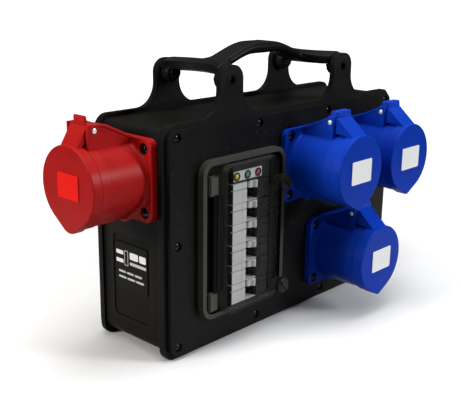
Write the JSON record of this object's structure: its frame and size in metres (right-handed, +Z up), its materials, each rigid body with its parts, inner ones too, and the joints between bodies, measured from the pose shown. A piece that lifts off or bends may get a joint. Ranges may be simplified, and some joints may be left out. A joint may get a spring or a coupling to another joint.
{
  "type": "portable power distribution box",
  "caption": "Flat upright black plastic distribution box with a carrying handle, an inlet, lidded round industrial outlets and breakers behind a hinged clear window.",
  "frame": {"origin": "centre of the case's underside, on the plane the two rims stand on", "axes": "+Z up, -Y out of the front panel with the breaker window, +X towards the inlet end, -X towards the red outlet"},
  "size_m": [0.4117, 0.1517, 0.2442],
  "materials": {
    "case_plastic": "moulded black, fine satin grain",
    "panel_plastic": "moulded black, fine satin grain",
    "handle_plastic": "moulded black, slightly worn satin",
    "gasket_rubber": "black sealing rubber",
    "blackened_screw": "blackened steel",
    "plate_film": "printed black film",
    "zinc_steel": "zinc-plated steel",
    "contact_carrier": "dark glass-filled plastic",
    "label_red": "plain bright red label",
    "label_white": "plain white label",
    "blue_plastic": "moulded blue, satin",
    "red_plastic": "moulded red, satin",
    "window_grey": "moulded grey-brown, satin",
    "window_clear": "clear smoked polycarbonate",
    "toggle_plastic": "white moulded lever",
    "device_plastic": "light grey device casing",
    "lens_yellow": "translucent yellow",
    "lens_green": "translucent green",
    "lens_red": "translucent red"
  },
  "bodies": {
    "case": {"back_gasket": "gasket_rubber", "back_panel": "panel_plastic", "blue_outlet_1_contacts": "contact_carrier", "blue_outlet_1_housing": "blue_plastic", "blue_outlet_1_lid_pin": "zinc_steel", "blue_outlet_2_contacts": "contact_carrier", "blue_outlet_2_housing": "blue_plastic", "blue_outlet_2_lid_pin": "zinc_steel", "blue_outlet_3_contacts": "contact_carrier", "blue_outlet_3_housing": "blue_plastic", "blue_outlet_3_lid_pin": "zinc_steel", "breaker_1": "device_plastic", "breaker_2": "device_plastic", "breaker_3": "device_plastic", "breaker_4": "device_plastic", "breaker_5": "device_plastic", "breaker_6": "device_plastic", "case_body": "case_plastic", "data_plate": "plate_film", "din_rail": "zinc_steel", "front_gasket": "gasket_rubber", "front_panel": "panel_plastic", "handle": "handle_plastic", "handle_screw_back_left": "blackened_screw", "handle_screw_back_right": "blackened_screw", "handle_screw_front_left": "blackened_screw", "handle_screw_front_right": "blackened_screw", "indicator_lens_green": "lens_green", "indicator_lens_red": "lens_red", "indicator_lens_yellow": "lens_yellow", "indicator_module": "device_plastic", "inlet_contacts": "contact_carrier", "inlet_housing": "red_plastic", "red_outlet_contacts": "contact_carrier", "red_outlet_housing": "red_plastic", "red_outlet_lid_pin": "zinc_steel", "window_frame": "window_grey", "window_hinge_pin": "zinc_steel"},
    "blue_outlet_1_lid": {"blue_outlet_1_lid": "blue_plastic", "blue_outlet_1_lid_label": "label_white"},
    "blue_outlet_2_lid": {"blue_outlet_2_lid": "blue_plastic", "blue_outlet_2_lid_label": "label_white"},
    "blue_outlet_3_lid": {"blue_outlet_3_lid": "blue_plastic", "blue_outlet_3_lid_label": "label_white"},
    "red_outlet_lid": {"red_outlet_lid": "red_plastic", "red_outlet_lid_label": "label_red"},
    "window_cover": {"window_cover": "window_clear"},
    "window_knob_top": {"window_knob_top": "window_grey"},
    "window_knob_bottom": {"window_knob_bottom": "window_grey"},
    "breaker_toggle_1": {"breaker_toggle_1": "toggle_plastic"},
    "breaker_toggle_2": {"breaker_toggle_2": "toggle_plastic"},
    "breaker_toggle_3": {"breaker_toggle_3": "toggle_plastic"},
    "breaker_toggle_4": {"breaker_toggle_4": "toggle_plastic"},
    "breaker_toggle_5": {"breaker_toggle_5": "toggle_plastic"},
    "breaker_toggle_6": {"breaker_toggle_6": "toggle_plastic"}
  },
  "joints": [
    {"name": "blue_outlet_1_lid_hinge", "type": "hinge", "parent": "case", "child": "blue_outlet_1_lid", "pos_m": [0.014, -0.0798, 0.1817], "axis": [-1, 0, 0], "range_deg": [0, 110], "stiffness_Nm_per_rad": 0.02, "springref_deg": -45.84},
    {"name": "blue_outlet_2_lid_hinge", "type": "hinge", "parent": "case", "child": "blue_outlet_2_lid", "pos_m": [0.0915, -0.0798, 0.1817], "axis": [-1, 0, 0], "range_deg": [0, 110], "stiffness_Nm_per_rad": 0.02, "springref_deg": -45.84},
    {"name": "blue_outlet_3_lid_hinge", "type": "hinge", "parent": "case", "child": "blue_outlet_3_lid", "pos_m": [0.054, -0.0798, 0.0932], "axis": [-1, 0, 0], "range_deg": [0, 75], "stiffness_Nm_per_rad": 0.02, "springref_deg": -45.84},
    {"name": "red_outlet_lid_hinge", "type": "hinge", "parent": "case", "child": "red_outlet_lid", "pos_m": [-0.1928, 0, 0.1906], "axis": [0, 1, 0], "range_deg": [0, 110], "stiffness_Nm_per_rad": 0.02, "springref_deg": -45.84},
    {"name": "window_cover_hinge", "type": "hinge", "parent": "case", "child": "window_cover", "pos_m": [-0.106, -0.0502, 0.092], "axis": [0, 0, -1], "range_deg": [0, 100]},
    {"name": "window_knob_top_turn", "type": "hinge", "parent": "window_cover", "child": "window_knob_top", "pos_m": [-0.0265, -0.0541, 0.131], "axis": [0, 1, 0], "range_deg": [0, 90]},
    {"name": "window_knob_bottom_turn", "type": "hinge", "parent": "window_cover", "child": "window_knob_bottom", "pos_m": [-0.0265, -0.0541, 0.037], "axis": [0, 1, 0], "range_deg": [0, 90]},
    {"name": "breaker_toggle_1_lever", "type": "hinge", "parent": "case", "child": "breaker_toggle_1", "pos_m": [-0.0618, -0.046, 0.1331], "axis": [0, 0, -1], "range_deg": [0, 54]},
    {"name": "breaker_toggle_2_lever", "type": "hinge", "parent": "case", "child": "breaker_toggle_2", "pos_m": [-0.0618, -0.046, 0.1156], "axis": [0, 0, -1], "range_deg": [0, 54]},
    {"name": "breaker_toggle_3_lever", "type": "hinge", "parent": "case", "child": "breaker_toggle_3", "pos_m": [-0.0618, -0.046, 0.0981], "axis": [0, 0, -1], "range_deg": [0, 54]},
    {"name": "breaker_toggle_4_lever", "type": "hinge", "parent": "case", "child": "breaker_toggle_4", "pos_m": [-0.0618, -0.046, 0.0806], "axis": [0, 0, -1], "range_deg": [0, 54]},
    {"name": "breaker_toggle_5_lever", "type": "hinge", "parent": "case", "child": "breaker_toggle_5", "pos_m": [-0.0618, -0.046, 0.0631], "axis": [0, 0, -1], "range_deg": [0, 54]},
    {"name": "breaker_toggle_6_lever", "type": "hinge", "parent": "case", "child": "breaker_toggle_6", "pos_m": [-0.0618, -0.046, 0.0456], "axis": [0, 0, -1], "range_deg": [0, 54]}
  ]
}
